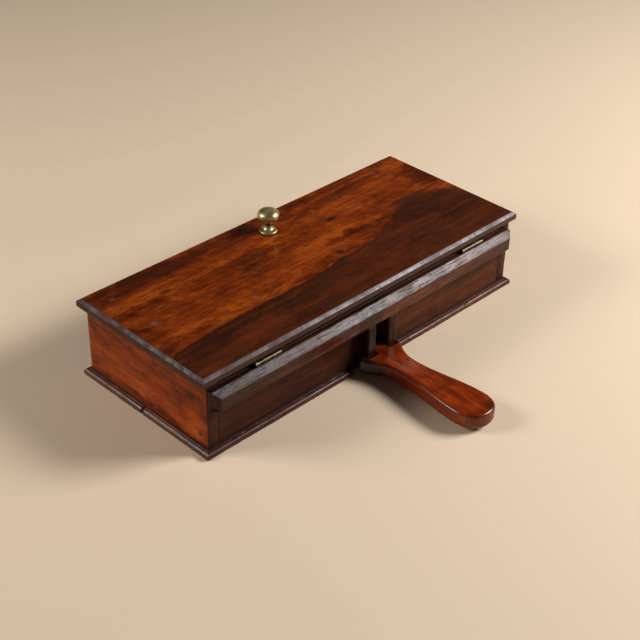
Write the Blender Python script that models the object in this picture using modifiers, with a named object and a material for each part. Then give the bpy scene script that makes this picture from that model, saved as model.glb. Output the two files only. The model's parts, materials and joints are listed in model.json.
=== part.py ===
"""A low mahogany box with a hinged lid, a brass knob and a wooden lift lever.

Frame: metres, +X along the length, +Z up, the lever and the lid hinges on the -Y side.
The origin is the centre of the underside, on the surface that the box stands on.
"""
import math

import bmesh
import bpy
from mathutils import Matrix, Vector

MM = 0.001
GAP = 0.3 * MM                      # air between pieces that touch on the real box
FAR = 1.0                           # larger than the object, for cutters
BLADE = 50 * MM                     # half size of the cutters that trim a corner

# Case
CASE_LENGTH = 400 * MM
CASE_DEPTH = 163.2 * MM
BOTTOM_THICKNESS = 6 * MM
WALL_TOP = 73.9 * MM
END_THICKNESS = 12 * MM
FRONT_THICKNESS = 10 * MM
BACK_THICKNESS = 10 * MM
MOULDING_WIDTH = 5.5 * MM
MOULDING_NOSE = 2.8 * MM            # radius of the moulding's upper round
BLOCK_SIZE = 13 * MM                # glue blocks in the corners

# Rail and guide posts on the front
RAIL_LEFT = -200 * MM
RAIL_RIGHT = 193.4 * MM
RAIL_DEPTH = 11.6 * MM
RAIL_BOTTOM = 50.6 * MM
RAIL_TOP = 69.6 * MM
RAIL_CHAMFER = 6.8 * MM             # along the top edge
RAIL_END_CUT = 5.5 * MM             # off the two front corners, seen from above
YOKE_X = 3 * MM                     # middle of the slot, the posts and the lever
SLOT_WIDTH = 17.2 * MM
POST_WIDTH = 10.5 * MM
SPLIT_Y = 2.4 * MM                  # break in the left base moulding

# Lid
LID_BOTTOM = 74.2 * MM
LID_THICKNESS = 8.5 * MM
LID_LEFT_OVERHANG = 6 * MM
LID_RIGHT_OVERHANG = 7.3 * MM
LID_FRONT_OVERHANG = 2.7 * MM
LID_BACK_OVERHANG = 6.1 * MM
LID_THUMBNAIL = 3.3 * MM            # width of the moulded edge

# Knob
KNOB_X = -0.6 * MM
KNOB_Y = 56.5 * MM
KNOB_HEIGHT = 24.8 * MM
KNOB_RADIUS = 10.75 * MM
KNOB_NECK = 4 * MM
ROSE_RADIUS = 8.8 * MM
ROSE_THICKNESS = 2.4 * MM
SHANK_RADIUS = 2.4 * MM

# Hinges
HINGE_LENGTH = 30 * MM
HINGE_CENTRES = (-134.2 * MM, 136.8 * MM)
HINGE_AXIS_Y = -85.3 * MM
HINGE_AXIS_Z = 71.9 * MM
KNUCKLE_RADIUS = 1.95 * MM
KNUCKLES = 5
PIN_RADIUS = 0.9 * MM
LEAF_THICKNESS = 1.1 * MM
LEAF_REAR_Y = -72.6 * MM

# Lever
LEVER_TOP = 19.5 * MM
LEVER_BOTTOM = 4.2 * MM
LEVER_X = 0.8 * MM                  # middle of the paddle
LEVER_TIP_Y = -224.2 * MM
LEVER_BULB_Y = -201.5 * MM          # widest place of the paddle
LEVER_BULB = 20.5 * MM              # half width there
LEVER_NECK_Y = -127.5 * MM          # narrowest place
LEVER_NECK = 12.6 * MM              # half width there
LEVER_EAR = 26.5 * MM               # half width of the fishtail
LEVER_NOTCH_Y = -96.3 * MM          # front of the notch that clears the posts
LEVER_EAR_Y = -90.6 * MM            # back of the ears beside the posts
LEVER_ROUND = 3.2 * MM              # rounding of the paddle's edges
TONGUE_WIDTH = 15.8 * MM
TONGUE_BOTTOM = 6.9 * MM
TONGUE_TOP = LEVER_TOP - 0.2 * MM
PIVOT_Y = 45 * MM
PIVOT_Z = 20 * MM
PIVOT_RADIUS = 3 * MM
EYE_RADIUS = 10 * MM
PIVOT_BLOCK = Vector((14, 26, 30)) * MM

HALF_LENGTH = CASE_LENGTH / 2
HALF_DEPTH = CASE_DEPTH / 2
FLOOR = BOTTOM_THICKNESS + GAP
LID_TOP = LID_BOTTOM + LID_THICKNESS
POST_OUTER = SLOT_WIDTH / 2 + POST_WIDTH


def clear_scene():
    for item in list(bpy.data.objects):
        bpy.data.objects.remove(item, do_unlink=True)


def new_collection(name):
    collection = bpy.data.collections.new(name)
    bpy.context.scene.collection.children.link(collection)
    return collection


clear_scene()
PARTS = new_collection("lidded_lever_box")
CUTTERS = new_collection("cutters")


def material(name, colour, roughness, metallic=0.0):
    made = bpy.data.materials.new(name)
    made.use_nodes = True
    shader = made.node_tree.nodes["Principled BSDF"]
    shader.inputs["Base Color"].default_value = (*colour, 1.0)
    shader.inputs["Roughness"].default_value = roughness
    shader.inputs["Metallic"].default_value = metallic
    return made


LID_WOOD = material("lid_mahogany", (0.26, 0.09, 0.035), 0.32)
CASE_WOOD = material("case_mahogany", (0.16, 0.05, 0.028), 0.38)
TRIM_WOOD = material("trim_mahogany", (0.11, 0.035, 0.022), 0.35)
LEVER_WOOD = material("lever_mahogany", (0.30, 0.08, 0.03), 0.28)
INNER_WOOD = material("inner_wood", (0.34, 0.20, 0.11), 0.7)
BRASS = material("aged_brass", (0.50, 0.39, 0.20), 0.35, 1.0)
STEEL = material("dark_steel", (0.20, 0.19, 0.18), 0.45, 1.0)


def add(name, mesh, finish=None):
    item = bpy.data.objects.new(name, mesh)
    PARTS.objects.link(item)
    if finish:
        item.data.materials.append(finish)
    return item


def as_cutter(item):
    for owner in list(item.users_collection):
        owner.objects.unlink(item)
    CUTTERS.objects.link(item)
    item.hide_render = True
    item.display_type = "WIRE"
    return item


def cut(target, cutter, operation="DIFFERENCE"):
    modifier = target.modifiers.new(cutter.name, "BOOLEAN")
    modifier.operation = operation
    modifier.solver = "EXACT"
    modifier.object = cutter


def soften(item, width, segments=2, angle=40):
    """Round the edges that are sharper than the angle."""
    modifier = item.modifiers.new("soft_edges", "BEVEL")
    modifier.width = width
    modifier.segments = segments
    modifier.limit_method = "ANGLE"
    modifier.angle_limit = math.radians(angle)
    return modifier


def box(name, low, high, finish=None, edge=0.4 * MM):
    low, high = Vector(low), Vector(high)
    work = bmesh.new()
    bmesh.ops.create_cube(work, size=1.0, matrix=Matrix.Diagonal((*(high - low), 1.0)))
    mesh = bpy.data.meshes.new(name)
    work.to_mesh(mesh)
    work.free()
    item = add(name, mesh, finish)
    item.location = (low + high) / 2
    if edge:
        soften(item, edge, segments=1)
    return item


def rod(name, radius, centre, length, upright=False, finish=None, sides=24):
    """A cylinder along X, or along Z if it is upright."""
    turn = Matrix.Identity(4) if upright else Matrix.Rotation(math.pi / 2, 4, "Y")
    work = bmesh.new()
    bmesh.ops.create_cone(work, cap_ends=True, segments=sides, radius1=radius,
                          radius2=radius, depth=length, matrix=turn)
    mesh = bpy.data.meshes.new(name)
    work.to_mesh(mesh)
    work.free()
    mesh.shade_smooth()
    mesh.set_sharp_from_angle(angle=math.radians(40))
    item = add(name, mesh, finish)
    item.location = centre
    return item


def turned(name, profile, finish=None, steps=32):
    """Revolve (radius, height) points, which run down the outer side, about Z."""
    mesh = bpy.data.meshes.new(name)
    points = [(radius, 0.0, height) for radius, height in profile]
    mesh.from_pydata(points, [(i, i + 1) for i in range(len(points) - 1)], [])
    item = add(name, mesh, finish)
    screw = item.modifiers.new("turn", "SCREW")
    screw.steps = steps
    screw.render_steps = steps
    screw.use_merge_vertices = True
    screw.merge_threshold = 0.01 * MM
    screw.use_smooth_shade = True
    return item


def mesh_of(item):
    """Bake an object's evaluated shape to a mesh, and remove the object."""
    bpy.context.view_layer.update()
    evaluated = item.evaluated_get(bpy.context.evaluated_depsgraph_get())
    mesh = bpy.data.meshes.new_from_object(evaluated)
    bpy.data.objects.remove(item, do_unlink=True)
    return mesh


def outline(name, points, thickness, bezier=False):
    """A mesh of the given thickness from a closed outline in its local XY plane.

    The points of a polygon are (x, y). Bezier points are (x, y, ahead, behind), where ahead
    and behind are the two handles, measured from their point.
    """
    curve = bpy.data.curves.new(name, "CURVE")
    curve.dimensions = "2D"
    curve.fill_mode = "BOTH"
    curve.extrude = thickness / 2
    curve.resolution_u = 7
    if bezier:
        spline = curve.splines.new("BEZIER")
        spline.bezier_points.add(len(points) - 1)
        for point, (x, y, ahead, behind) in zip(spline.bezier_points, points):
            point.handle_left_type = "FREE"
            point.handle_right_type = "FREE"
            point.co = (x, y, 0)
            point.handle_right = (x + ahead[0], y + ahead[1], 0)
            point.handle_left = (x + behind[0], y + behind[1], 0)
    else:
        spline = curve.splines.new("POLY")
        spline.points.add(len(points) - 1)
        for point, (x, y) in zip(spline.points, points):
            point.co = (x, y, 0, 1)
    spline.use_cyclic_u = True
    item = bpy.data.objects.new(name, curve)
    CUTTERS.objects.link(item)
    mesh = mesh_of(item)
    work = bmesh.new()
    work.from_mesh(mesh)
    bmesh.ops.remove_doubles(work, verts=work.verts, dist=0.002 * MM)
    bmesh.ops.dissolve_limit(work, angle_limit=math.radians(0.5), verts=work.verts,
                             edges=work.edges)
    work.to_mesh(mesh)
    work.free()
    return mesh


def section(name, profile, start_x, end_x, finish):
    """Extrude a (y, z) section along X from start_x to end_x."""
    mesh = outline(name, profile, end_x - start_x)
    item = add(name, mesh, finish)
    item.matrix_world = (Matrix.Translation(((start_x + end_x) / 2, 0, 0))
                         @ Matrix.Rotation(math.pi / 2, 4, "Z")
                         @ Matrix.Rotation(math.pi / 2, 4, "X"))
    return item


# --- Fasteners -------------------------------------------------------------------------

def screw_profile(head, shank, length, head_depth, grow=0.0):
    """A countersunk screw whose head is level with z = 0 and whose point is at -length."""
    return [(0, grow), (head + grow, grow), (head + grow, -0.3 * MM), (shank + grow, -head_depth),
            (shank + grow, -length + 2 * shank), (0.3 * shank + grow, -length - grow),
            (0, -length - grow)]


def nail_profile(head, shank, length, grow=0.0):
    head_depth = 0.8 * MM
    return [(0, grow), (head + grow, grow), (head + grow, -head_depth - grow),
            (shank + grow, -head_depth - grow), (shank + grow, -length - grow), (0, -length - grow)]


def aimed(place, outward):
    """A matrix whose +Z points along outward, at the place."""
    turn = Vector((0, 0, 1)).rotation_difference(Vector(outward)).to_matrix().to_4x4()
    return Matrix.Translation(place) @ turn


def cutter_of_copies(name, mesh, spots):
    """One cutter made of a copy of the mesh at each spot."""
    work = bmesh.new()
    for spot in spots:
        placed = mesh.copy()
        placed.transform(spot)
        work.from_mesh(placed)
        bpy.data.meshes.remove(placed)
    joined = bpy.data.meshes.new(name)
    work.to_mesh(joined)
    work.free()
    return as_cutter(add(name, joined))


def fasten(name, shape, sizes, spots, hosts, finish, steps=10):
    """Equal fasteners, one object each, and the holes for them in the pieces they join."""
    mesh = mesh_of(turned(name, shape(*sizes), finish, steps))
    grown = mesh_of(turned(name, shape(*sizes, grow=GAP), steps=steps))
    holes = cutter_of_copies(name + "_holes", grown, spots)
    for host in hosts:
        cut(host, holes)
    pieces = []
    for number, spot in enumerate(spots, start=1):
        piece = add(f"{name}_{number}", mesh)
        piece.matrix_world = spot
        pieces.append(piece)
    return pieces


# --- Case ------------------------------------------------------------------------------

def make_walls():
    inner_end = HALF_LENGTH - END_THICKNESS
    left = box("left_end_wall", (-HALF_LENGTH, -HALF_DEPTH, FLOOR),
               (-inner_end, HALF_DEPTH, WALL_TOP), CASE_WOOD)
    right = box("right_end_wall", (inner_end, -HALF_DEPTH, FLOOR),
                (HALF_LENGTH, HALF_DEPTH, WALL_TOP), CASE_WOOD)
    back = box("back_wall", (-inner_end + GAP, HALF_DEPTH - BACK_THICKNESS, FLOOR),
               (inner_end - GAP, HALF_DEPTH, WALL_TOP), CASE_WOOD)
    front = box("front_wall", (-inner_end + GAP, -HALF_DEPTH, FLOOR),
                (inner_end - GAP, -HALF_DEPTH + FRONT_THICKNESS, RAIL_TOP), CASE_WOOD)
    slot = box("slot_cutter", (YOKE_X - SLOT_WIDTH / 2, -FAR, -FAR),
               (YOKE_X + SLOT_WIDTH / 2, 0, RAIL_BOTTOM), edge=0)
    cut(front, as_cutter(slot))
    return left, right, back, front


def make_bottom():
    return box("bottom_board", (-HALF_LENGTH, -HALF_DEPTH, 0),
               (HALF_LENGTH, HALF_DEPTH, BOTTOM_THICKNESS), INNER_WOOD)


def moulding_profile():
    """Section of the base moulding: x is outward, y is up."""
    width, top, nose, toe = MOULDING_WIDTH, BOTTOM_THICKNESS, MOULDING_NOSE, 0.9 * MM
    points = [(GAP, 0), (width - toe, 0), (width, toe)]
    for step in range(6):
        angle = math.radians(90 * step / 5)
        points.append((width - nose + nose * math.cos(angle), top - nose + nose * math.sin(angle)))
    points.append((GAP, top))
    return points


def moulding(name, side, start, end, mitre_start, mitre_end):
    """A length of base moulding. side is the outward direction's angle about Z, in degrees.

    start and end are measured along the side, to the right as seen from outside.
    """
    reach = HALF_LENGTH if side in (0, 180) else HALF_DEPTH
    mesh = outline(name, moulding_profile(), end - start)
    item = add(name, mesh, TRIM_WOOD)
    # Local x (outward) and y (up) of the section turn to face the side.
    upright = Matrix.Rotation(math.pi / 2, 4, "X")
    along = (start + end) / 2
    item.matrix_world = (Matrix.Rotation(math.radians(side), 4, "Z")
                         @ Matrix.Translation((reach, along, 0)) @ upright)
    for wanted, place, direction in ((mitre_start, start, -1), (mitre_end, end, 1)):
        if not wanted:
            continue
        blade = box(name + "_mitre", (-BLADE, -BLADE, -BLADE), (BLADE, BLADE, BLADE), edge=0)
        corner = Vector((reach, place - direction * MOULDING_WIDTH, 0))
        outward = Vector((-1, direction, 0)).normalized()
        blade.matrix_world = (Matrix.Rotation(math.radians(side), 4, "Z")
                              @ Matrix.Translation(corner + outward * (BLADE - GAP / 2))
                              @ Matrix.Rotation(math.atan2(outward.y, outward.x), 4, "Z"))
        cut(item, as_cutter(blade))
    return item


def make_mouldings():
    x_end = HALF_LENGTH + MOULDING_WIDTH
    y_end = HALF_DEPTH + MOULDING_WIDTH
    handle = LEVER_EAR + 1.3 * MM
    moulding("front_left_moulding", -90, -x_end, YOKE_X - handle, True, False)
    moulding("front_right_moulding", -90, YOKE_X + handle, x_end, False, True)
    moulding("right_moulding", 0, -y_end, y_end, True, True)
    moulding("back_moulding", 90, -x_end, x_end, True, True)
    moulding("left_rear_moulding", 180, -y_end, -SPLIT_Y - GAP / 2, True, False)
    moulding("left_front_moulding", 180, -SPLIT_Y + GAP / 2, y_end, False, True)


def make_rail():
    front = -HALF_DEPTH - GAP - RAIL_DEPTH
    back = -HALF_DEPTH - GAP
    profile = [(front, RAIL_BOTTOM), (back, RAIL_BOTTOM), (back, RAIL_TOP),
               (front + RAIL_CHAMFER, RAIL_TOP), (front, RAIL_TOP - RAIL_CHAMFER)]
    rail = section("hinge_rail", profile, RAIL_LEFT, RAIL_RIGHT, TRIM_WOOD)
    for end, side in ((RAIL_LEFT, -1), (RAIL_RIGHT, 1)):
        blade = box("rail_end_blade", (-BLADE, -BLADE, -BLADE), (BLADE, BLADE, BLADE), edge=0)
        outward = Vector((side, -1, 0)).normalized()
        blade.matrix_world = (Matrix.Translation(Vector((end, front + RAIL_END_CUT, RAIL_TOP))
                                                 + outward * BLADE)
                              @ Matrix.Rotation(math.atan2(outward.y, outward.x), 4, "Z"))
        cut(rail, as_cutter(blade))
    soften(rail, 0.4 * MM, segments=1, angle=30)


def make_posts():
    for name, side in (("left_guide_post", -1), ("right_guide_post", 1)):
        inner = YOKE_X + side * SLOT_WIDTH / 2
        outer = YOKE_X + side * POST_OUTER
        box(name, (min(inner, outer), -HALF_DEPTH - GAP - RAIL_DEPTH, FLOOR),
            (max(inner, outer), -HALF_DEPTH - GAP, RAIL_BOTTOM - GAP), TRIM_WOOD)


def make_corner_blocks():
    x_in = HALF_LENGTH - END_THICKNESS - GAP
    y_front = -HALF_DEPTH + FRONT_THICKNESS + GAP
    y_back = HALF_DEPTH - BACK_THICKNESS - GAP
    for name, x_sign, y_wall, y_sign in (("front_left_block", -1, y_front, 1),
                                         ("front_right_block", 1, y_front, 1),
                                         ("back_left_block", -1, y_back, -1),
                                         ("back_right_block", 1, y_back, -1)):
        xs = sorted((x_sign * x_in, x_sign * (x_in - BLOCK_SIZE)))
        ys = sorted((y_wall, y_wall + y_sign * BLOCK_SIZE))
        box(name, (xs[0], ys[0], FLOOR), (xs[1], ys[1], RAIL_BOTTOM), INNER_WOOD, edge=1 * MM)


def make_pivot_blocks():
    blocks = []
    inner = TONGUE_WIDTH / 2 + 0.8 * MM
    for name, side in (("left_pivot_block", -1), ("right_pivot_block", 1)):
        xs = sorted((YOKE_X + side * inner, YOKE_X + side * (inner + PIVOT_BLOCK.x)))
        block = box(name, (xs[0], PIVOT_Y - PIVOT_BLOCK.y / 2, FLOOR),
                    (xs[1], PIVOT_Y + PIVOT_BLOCK.y / 2, FLOOR + PIVOT_BLOCK.z),
                    INNER_WOOD, edge=1 * MM)
        blocks.append(block)
    length = 2 * (inner + PIVOT_BLOCK.x) + 2 * MM
    pin = rod("lever_pivot_pin", PIVOT_RADIUS, (YOKE_X, PIVOT_Y, PIVOT_Z), length, finish=STEEL)
    soften(pin, 0.5 * MM, segments=1)
    bore = as_cutter(rod("pivot_bore", PIVOT_RADIUS + GAP, (YOKE_X, PIVOT_Y, PIVOT_Z), length * 2))
    for block in blocks:
        cut(block, bore)
    return blocks, bore


# --- Lid -------------------------------------------------------------------------------

def make_lid():
    low = (-HALF_LENGTH - LID_LEFT_OVERHANG, -HALF_DEPTH - LID_FRONT_OVERHANG, LID_BOTTOM)
    high = (HALF_LENGTH + LID_RIGHT_OVERHANG, HALF_DEPTH + LID_BACK_OVERHANG, LID_TOP)
    lid = box("lid_board", low, high, LID_WOOD, edge=0)
    weights = lid.data.attributes.new("bevel_weight_edge", "FLOAT", "EDGE")
    points = lid.data.vertices
    for edge, weight in zip(lid.data.edges, weights.data):
        heights = [points[i].co.z for i in edge.vertices]
        weight.value = 1.0 if min(heights) > 0 else 0.0
    thumbnail = lid.modifiers.new("thumbnail", "BEVEL")
    thumbnail.limit_method = "WEIGHT"
    thumbnail.width = LID_THUMBNAIL
    thumbnail.segments = 3
    thumbnail.profile = 0.42
    return lid


def knob_profile():
    """The head is an ellipse in section, then a cove runs down to the foot and the shank."""
    top = LID_TOP + GAP + KNOB_HEIGHT
    head = 6.6 * MM                 # half height of the head
    foot = LID_TOP + 2 * GAP + ROSE_THICKNESS
    points = []
    for step in range(11):
        angle = math.radians(90 - 152 * step / 10)
        points.append((KNOB_RADIUS * max(math.cos(angle), 0.0), top - head + head * math.sin(angle)))
    points[0] = (0.0, top)
    points += [(KNOB_NECK, foot + 5.2 * MM), (KNOB_NECK + 0.2 * MM, foot + 3.4 * MM),
               (KNOB_NECK + 1.2 * MM, foot + 1.6 * MM), (KNOB_NECK + 2.6 * MM, foot + 0.9 * MM),
               (KNOB_NECK + 2.8 * MM, foot), (SHANK_RADIUS, foot),
               (SHANK_RADIUS, LID_BOTTOM - 7 * MM), (0.0, LID_BOTTOM - 7 * MM)]
    return points


def ring_profile(outer, inner, bottom, top):
    edge = 0.4 * MM
    return [(inner, top), (outer - edge, top), (outer, top - edge), (outer, bottom + edge),
            (outer - edge, bottom), (inner, bottom), (inner, top)]


def make_knob(lid):
    place = (KNOB_X, KNOB_Y, 0)
    bore = SHANK_RADIUS + GAP
    knob = turned("brass_knob", knob_profile(), BRASS, steps=32)
    rose = turned("knob_rose", ring_profile(ROSE_RADIUS, bore, LID_TOP + GAP,
                                            LID_TOP + GAP + ROSE_THICKNESS), BRASS, steps=32)
    washer = turned("knob_washer", ring_profile(6.5 * MM, bore, LID_BOTTOM - GAP - 1 * MM,
                                                LID_BOTTOM - GAP), BRASS, steps=24)
    nut_top = LID_BOTTOM - 2 * GAP - 1 * MM
    nut_bottom = nut_top - 3.4 * MM
    flat_bore = bore / math.cos(math.pi / 6)        # so that the hexagon's flats clear the shank
    nut = turned("knob_nut", [(flat_bore, nut_top), (4.6 * MM, nut_top), (4.6 * MM, nut_bottom),
                              (flat_bore, nut_bottom), (flat_bore, nut_top)], BRASS, steps=6)
    nut.modifiers["turn"].use_smooth_shade = False
    bore_cutter = rod("knob_bore", bore, (KNOB_X, KNOB_Y, LID_BOTTOM), 0.06, upright=True)
    cut(lid, as_cutter(bore_cutter))
    for item in (knob, rose, washer, nut):
        item.location = place
    return knob, rose, washer, nut


# --- Hinges ----------------------------------------------------------------------------

def knuckle_spans(centre, lower):
    """The stretches of the barrel that belong to the lower or the upper leaf."""
    pitch = HINGE_LENGTH / KNUCKLES
    first = centre - HINGE_LENGTH / 2
    return [(first + i * pitch + GAP / 2, first + (i + 1) * pitch - GAP / 2)
            for i in range(KNUCKLES) if (i % 2 == 0) == lower]


def make_leaf(name, centre, lower):
    """One leaf: a plate with its knuckles joined to it and the pin's bore through them."""
    side = -1 if lower else 1
    outer_face = HINGE_AXIS_Z + side * KNUCKLE_RADIUS
    heights = sorted((outer_face, outer_face - side * LEAF_THICKNESS))
    leaf = box(name, (centre - HINGE_LENGTH / 2, HINGE_AXIS_Y + 0.6 * MM, heights[0]),
               (centre + HINGE_LENGTH / 2, LEAF_REAR_Y, heights[1]), BRASS, edge=0)
    room = KNUCKLE_RADIUS + GAP
    for start, end in knuckle_spans(centre, not lower):
        notch = box(name + "_notch", (start - GAP, HINGE_AXIS_Y - room, HINGE_AXIS_Z - 2 * room),
                    (end + GAP, HINGE_AXIS_Y + room, HINGE_AXIS_Z + 2 * room), edge=0)
        cut(leaf, as_cutter(notch))
    for start, end in knuckle_spans(centre, lower):
        knuckle = rod(name + "_knuckle", KNUCKLE_RADIUS,
                      ((start + end) / 2, HINGE_AXIS_Y, HINGE_AXIS_Z), end - start, sides=20)
        cut(leaf, as_cutter(knuckle), "UNION")
    bore = rod(name + "_bore", PIN_RADIUS + 0.2 * MM, (centre, HINGE_AXIS_Y, HINGE_AXIS_Z),
               2 * HINGE_LENGTH, sides=16)
    cut(leaf, as_cutter(bore))
    return leaf


def hinge_screw_spots(height, outward):
    spots = []
    for centre in HINGE_CENTRES:
        for offset in (-9.5 * MM, 9.5 * MM):
            spots.append(aimed((centre + offset, (-HALF_DEPTH + LEAF_REAR_Y) / 2 - 0.5 * MM, height),
                               (0, 0, outward)))
    return spots


def make_hinges(lid, front):
    low_top = HINGE_AXIS_Z - KNUCKLE_RADIUS + LEAF_THICKNESS
    high_bottom = HINGE_AXIS_Z + KNUCKLE_RADIUS - LEAF_THICKNESS
    lower, upper = [], []
    for label, centre in zip(("left", "right"), HINGE_CENTRES):
        lower.append(make_leaf(label + "_hinge_lower_leaf", centre, True))
        upper.append(make_leaf(label + "_hinge_upper_leaf", centre, False))
        rod(label + "_hinge_pin", PIN_RADIUS - 0.1 * MM, (centre, HINGE_AXIS_Y, HINGE_AXIS_Z),
            HINGE_LENGTH + 0.6 * MM, finish=BRASS, sides=16)
    size = (2.1 * MM, 1.0 * MM, 9 * MM, 1.1 * MM)
    fasten("hinge_case_screw", screw_profile, size, hinge_screw_spots(low_top, 1),
           [front, *lower], BRASS)
    short = (2.1 * MM, 1.0 * MM, 7 * MM, 1.1 * MM)
    screws = fasten("hinge_lid_screw", screw_profile, short, hinge_screw_spots(high_bottom, -1),
                    [lid, *upper], BRASS)
    return [*upper, *screws]


# --- Lever -----------------------------------------------------------------------------

def paddle_points():
    """Half of the paddle's outline, from behind the ear to the tip, as Bezier points."""
    reach = LEVER_BULB_Y - LEVER_TIP_Y
    return [
        (LEVER_EAR, LEVER_EAR_Y + 6 * MM, (0, -18 * MM), (0, 0)),
        (LEVER_NECK, LEVER_NECK_Y, (0, -26 * MM), (0, 22 * MM)),
        (LEVER_BULB, LEVER_BULB_Y, (0, -0.63 * reach), (0, 25 * MM)),
        (0, LEVER_TIP_Y, (-0.63 * LEVER_BULB, 0), (0.63 * LEVER_BULB, 0)),
    ]


def mirrored(points):
    """The other half, run backwards so that the whole outline is one loop."""
    return [(-x, y, (-behind[0], behind[1]), (-ahead[0], ahead[1]))
            for x, y, ahead, behind in reversed(points[:-1])]


def tongue_profile():
    """Side view (y, z) of the tongue, which ends in a round eye on the pivot."""
    front = LEVER_NOTCH_Y - 6 * MM
    points = [(front, TONGUE_BOTTOM), (PIVOT_Y - EYE_RADIUS, TONGUE_BOTTOM)]
    for step in range(13):
        angle = math.radians(-100 + 255 * step / 12)
        points.append((PIVOT_Y + EYE_RADIUS * math.cos(angle),
                       PIVOT_Z + EYE_RADIUS * math.sin(angle)))
    points += [(PIVOT_Y - 1.7 * EYE_RADIUS, TONGUE_TOP), (front, TONGUE_TOP)]
    return points


def make_lever(pivot_bore):
    half = paddle_points()
    mesh = outline("lever_handle", half + mirrored(half), LEVER_TOP - LEVER_BOTTOM, bezier=True)
    lever = add("lever_handle", mesh, LEVER_WOOD)
    lever.matrix_world = Matrix.Translation((LEVER_X, 0, (LEVER_TOP + LEVER_BOTTOM) / 2))
    lever.data.shade_smooth()
    lever.data.set_sharp_from_angle(angle=math.radians(40))
    soften(lever, LEVER_ROUND, segments=3, angle=50)
    post_room = POST_OUTER + 1.0 * MM
    notch = box("post_notch", (YOKE_X - post_room, LEVER_NOTCH_Y, -FAR),
                (YOKE_X + post_room, 0, FAR), edge=0)
    cut(lever, as_cutter(notch))
    trim = box("ear_trim", (-FAR, LEVER_EAR_Y, -FAR), (FAR, 0, FAR), edge=0)
    cut(lever, as_cutter(trim))
    tongue = section("tongue_shape", tongue_profile(), YOKE_X - TONGUE_WIDTH / 2,
                     YOKE_X + TONGUE_WIDTH / 2, None)
    cut(lever, as_cutter(tongue), "UNION")
    cut(lever, pivot_bore)
    return lever


# --- Assembly --------------------------------------------------------------------------

def pivot_screw_spots():
    reach = TONGUE_WIDTH / 2 + 0.8 * MM + PIVOT_BLOCK.x / 2
    return [aimed((YOKE_X + side * reach, PIVOT_Y + y, 0), (0, 0, -1))
            for side in (-1, 1) for y in (-8 * MM, 8 * MM)]


def end_nail_spots(side):
    x = side * HALF_LENGTH
    front = -HALF_DEPTH + FRONT_THICKNESS / 2
    back = HALF_DEPTH - BACK_THICKNESS / 2
    return [aimed((x, y, z), (side, 0, 0)) for y in (front, back) for z in (15 * MM, 60 * MM)]


def front_nail_spots():
    x = HALF_LENGTH - END_THICKNESS - 4 * MM
    return [aimed((side * x, -HALF_DEPTH, z), (0, -1, 0)) for side in (-1, 1)
            for z in (19 * MM, 28 * MM)]


def make_fasteners(walls, bottom, blocks):
    left, right, back, front = walls
    corner = [bpy.data.objects[name] for name in ("front_left_block", "front_right_block")]
    fasten("pivot_block_screw", screw_profile, (3.2 * MM, 1.5 * MM, 22 * MM, 2.6 * MM),
           pivot_screw_spots(), [bottom, *blocks], STEEL)
    nail = (1.3 * MM, 0.8 * MM, 24 * MM)
    fasten("left_end_nail", nail_profile, nail, end_nail_spots(-1), [left, front, back], STEEL)
    fasten("right_end_nail", nail_profile, nail, end_nail_spots(1), [right, front, back], STEEL)
    fasten("front_wall_nail", nail_profile, (1.0 * MM, 0.7 * MM, 18 * MM), front_nail_spots(),
           [front, *corner], STEEL)


def hang_on(empty_name, place, pieces):
    """Parent the moving pieces to an empty on their joint's axis."""
    pivot = bpy.data.objects.new(empty_name, None)
    PARTS.objects.link(pivot)
    pivot.location = place
    bpy.context.view_layer.update()
    for piece in pieces:
        piece.parent = pivot
        piece.matrix_parent_inverse = pivot.matrix_world.inverted()


def build():
    walls = make_walls()
    bottom = make_bottom()
    make_mouldings()
    make_rail()
    make_posts()
    make_corner_blocks()
    blocks, pivot_bore = make_pivot_blocks()
    make_fasteners(walls, bottom, blocks)
    lid = make_lid()
    knob_pieces = make_knob(lid)
    lid_metal = make_hinges(lid, walls[3])
    lever = make_lever(pivot_bore)
    hang_on("lid_pivot", (0, HINGE_AXIS_Y, HINGE_AXIS_Z), [lid, *knob_pieces, *lid_metal])
    hang_on("lever_pivot", (YOKE_X, PIVOT_Y, PIVOT_Z), [lever])


build()
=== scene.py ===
"""The looks of a low mahogany box with a hinged lid, a brass knob and a paddle lever.

Everything is in metres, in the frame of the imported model: +X along the length, +Z up, and
the lever and the hinges on the -Y side.
"""
import json
import math

import bmesh
import bpy
from mathutils import Matrix, Vector, noise


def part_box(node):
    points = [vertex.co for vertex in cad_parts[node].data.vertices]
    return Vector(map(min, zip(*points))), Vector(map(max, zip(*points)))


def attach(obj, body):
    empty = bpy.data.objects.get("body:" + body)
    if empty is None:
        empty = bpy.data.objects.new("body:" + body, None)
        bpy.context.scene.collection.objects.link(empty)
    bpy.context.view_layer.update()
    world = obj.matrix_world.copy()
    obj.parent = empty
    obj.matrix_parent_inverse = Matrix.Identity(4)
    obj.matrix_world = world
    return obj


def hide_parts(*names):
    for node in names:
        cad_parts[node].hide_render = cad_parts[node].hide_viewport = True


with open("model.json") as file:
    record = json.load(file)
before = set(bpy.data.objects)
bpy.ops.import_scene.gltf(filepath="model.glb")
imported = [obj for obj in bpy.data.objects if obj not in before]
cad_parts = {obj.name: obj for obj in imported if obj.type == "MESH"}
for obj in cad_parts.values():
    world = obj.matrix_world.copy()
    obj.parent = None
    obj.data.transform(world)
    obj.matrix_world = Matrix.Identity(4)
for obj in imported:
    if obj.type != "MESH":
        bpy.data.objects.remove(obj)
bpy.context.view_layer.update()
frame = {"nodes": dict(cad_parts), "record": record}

MM = 0.001
SLOTS = {part["node"]: part["material_slot"] for part in frame["record"]["subparts"]}

LID_LOW, LID_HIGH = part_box("lid_board")
RAIL_LOW, RAIL_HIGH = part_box("hinge_rail")
WALL_LOW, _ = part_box("left_end_wall")
LEVER_LOW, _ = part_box("lever_handle")
ROSE_LOW, ROSE_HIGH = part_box("knob_rose")
KNOB_LOW, KNOB_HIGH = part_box("brass_knob")

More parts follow.
